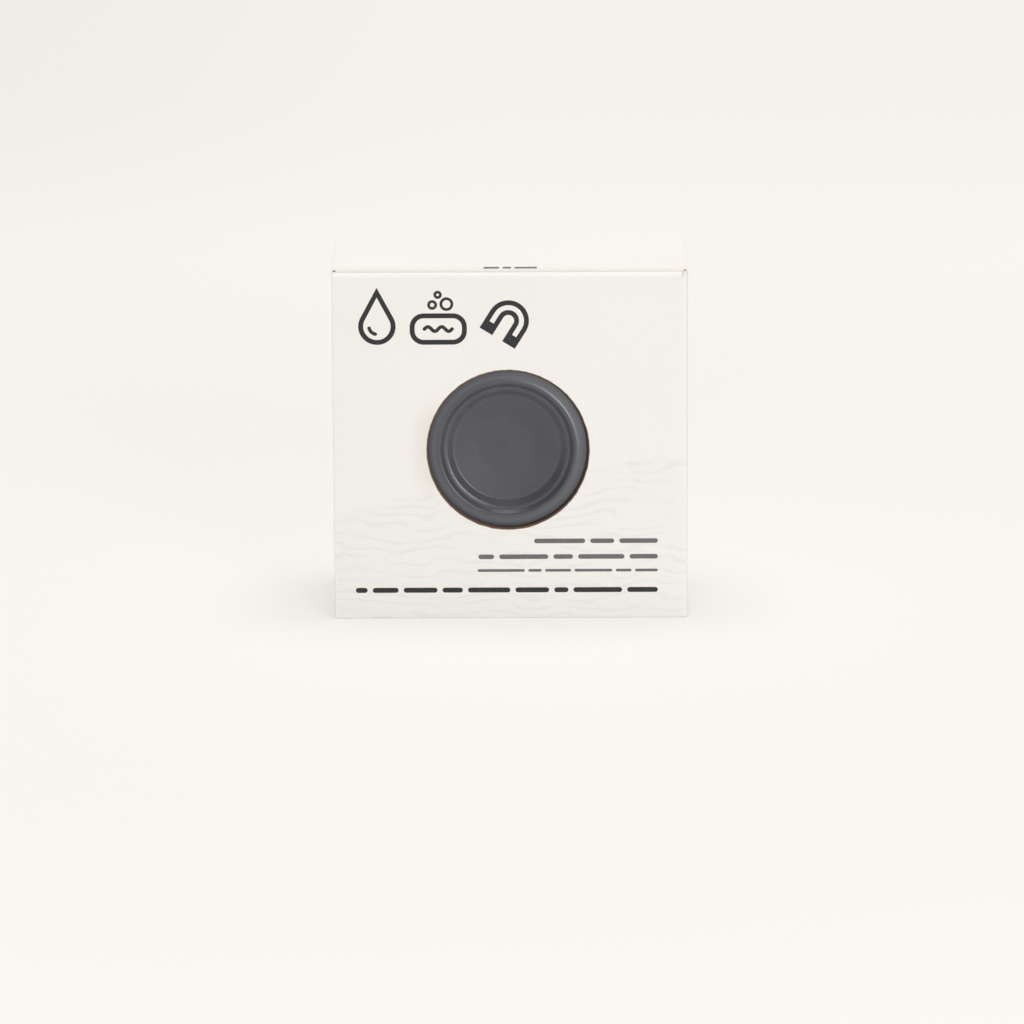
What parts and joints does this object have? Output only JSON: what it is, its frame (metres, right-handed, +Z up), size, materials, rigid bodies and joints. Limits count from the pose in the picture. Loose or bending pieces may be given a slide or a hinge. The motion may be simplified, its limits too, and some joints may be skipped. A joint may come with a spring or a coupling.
{
  "type": "magnetic soap holder",
  "caption": "Round magnetic wall holder for a bar of soap, with its toothed steel plate, packed in a square folding carton whose front window shows the holder's stepped dish.",
  "frame": {"origin": "middle of the carton's base, on the surface that it stands on", "axes": "+Z up; the front panel with the window faces -Y; +X is to the right as seen from the front"},
  "size_m": [0.09, 0.045, 0.0911],
  "materials": {
    "white_board": "white uncoated folding board, creased and glued, with a scorched edge round the window",
    "saddle_card": "plain white card, die-cut and folded",
    "slate_plastic": "moulded recycled plastic, dark slate grey, fine matte texture",
    "zinc_plated_steel": "pressed steel, zinc plated",
    "nickel_plated_magnet": "sintered magnet, nickel plated",
    "white_foam": "double-sided foam tape, white",
    "liner_paper": "silicone-coated release paper, smooth"
  },
  "bodies": {
    "carton": {"carton_sleeve": "white_board", "glue_flap": "white_board", "bottom_outer_flap": "white_board", "bottom_inner_flap": "white_board", "bottom_dust_flap_left": "white_board", "bottom_dust_flap_right": "white_board", "card_saddle": "saddle_card"},
    "lid": {"lid_panel": "white_board"},
    "tuck": {"lid_tuck_flap": "white_board"},
    "dust_left": {"dust_flap_left": "white_board"},
    "dust_right": {"dust_flap_right": "white_board"},
    "holder": {"holder_body": "slate_plastic", "back_plate": "slate_plastic", "magnet_cup": "zinc_plated_steel", "magnet": "nickel_plated_magnet", "adhesive_pad": "white_foam", "release_liner": "liner_paper"},
    "plate": {"soap_plate": "zinc_plated_steel"}
  },
  "joints": [
    {"name": "lid_hinge", "type": "hinge", "parent": "carton", "child": "lid", "pos_m": [0, 0.0221, 0.0907], "axis": [-1, 0, 0], "range_deg": [0, 180]},
    {"name": "tuck_fold", "type": "hinge", "parent": "lid", "child": "tuck", "pos_m": [0, -0.0206, 0.08934], "axis": [-1, 0, 0], "range_deg": [0, 45]},
    {"name": "dust_flap_left_hinge", "type": "hinge", "parent": "carton", "child": "dust_left", "pos_m": [-0.0446, 0, 0.0896], "axis": [0, -1, 0], "range_deg": [0, 90]},
    {"name": "dust_flap_right_hinge", "type": "hinge", "parent": "carton", "child": "dust_right", "pos_m": [0.0446, 0, 0.0896], "axis": [0, 1, 0], "range_deg": [0, 90]},
    {"name": "holder_lift", "type": "slide", "parent": "carton", "child": "holder", "axis": [0, 0, 1], "range_m": [0, 0.075]},
    {"name": "soap_plate_lift", "type": "slide", "parent": "carton", "child": "plate", "axis": [0, 0, 1], "range_m": [0, 0.075]}
  ],
  "couplings": [
    {"joint": "tuck_fold", "follows": "lid_hinge", "ratio": 0.25},
    {"joint": "dust_flap_left_hinge", "follows": "lid_hinge", "ratio": 0.5},
    {"joint": "dust_flap_right_hinge", "follows": "lid_hinge", "ratio": 0.5},
    {"joint": "holder_lift", "follows": "lid_hinge", "m_per_rad": 0.023873},
    {"joint": "soap_plate_lift", "follows": "lid_hinge", "m_per_rad": 0.023873}
  ]
}
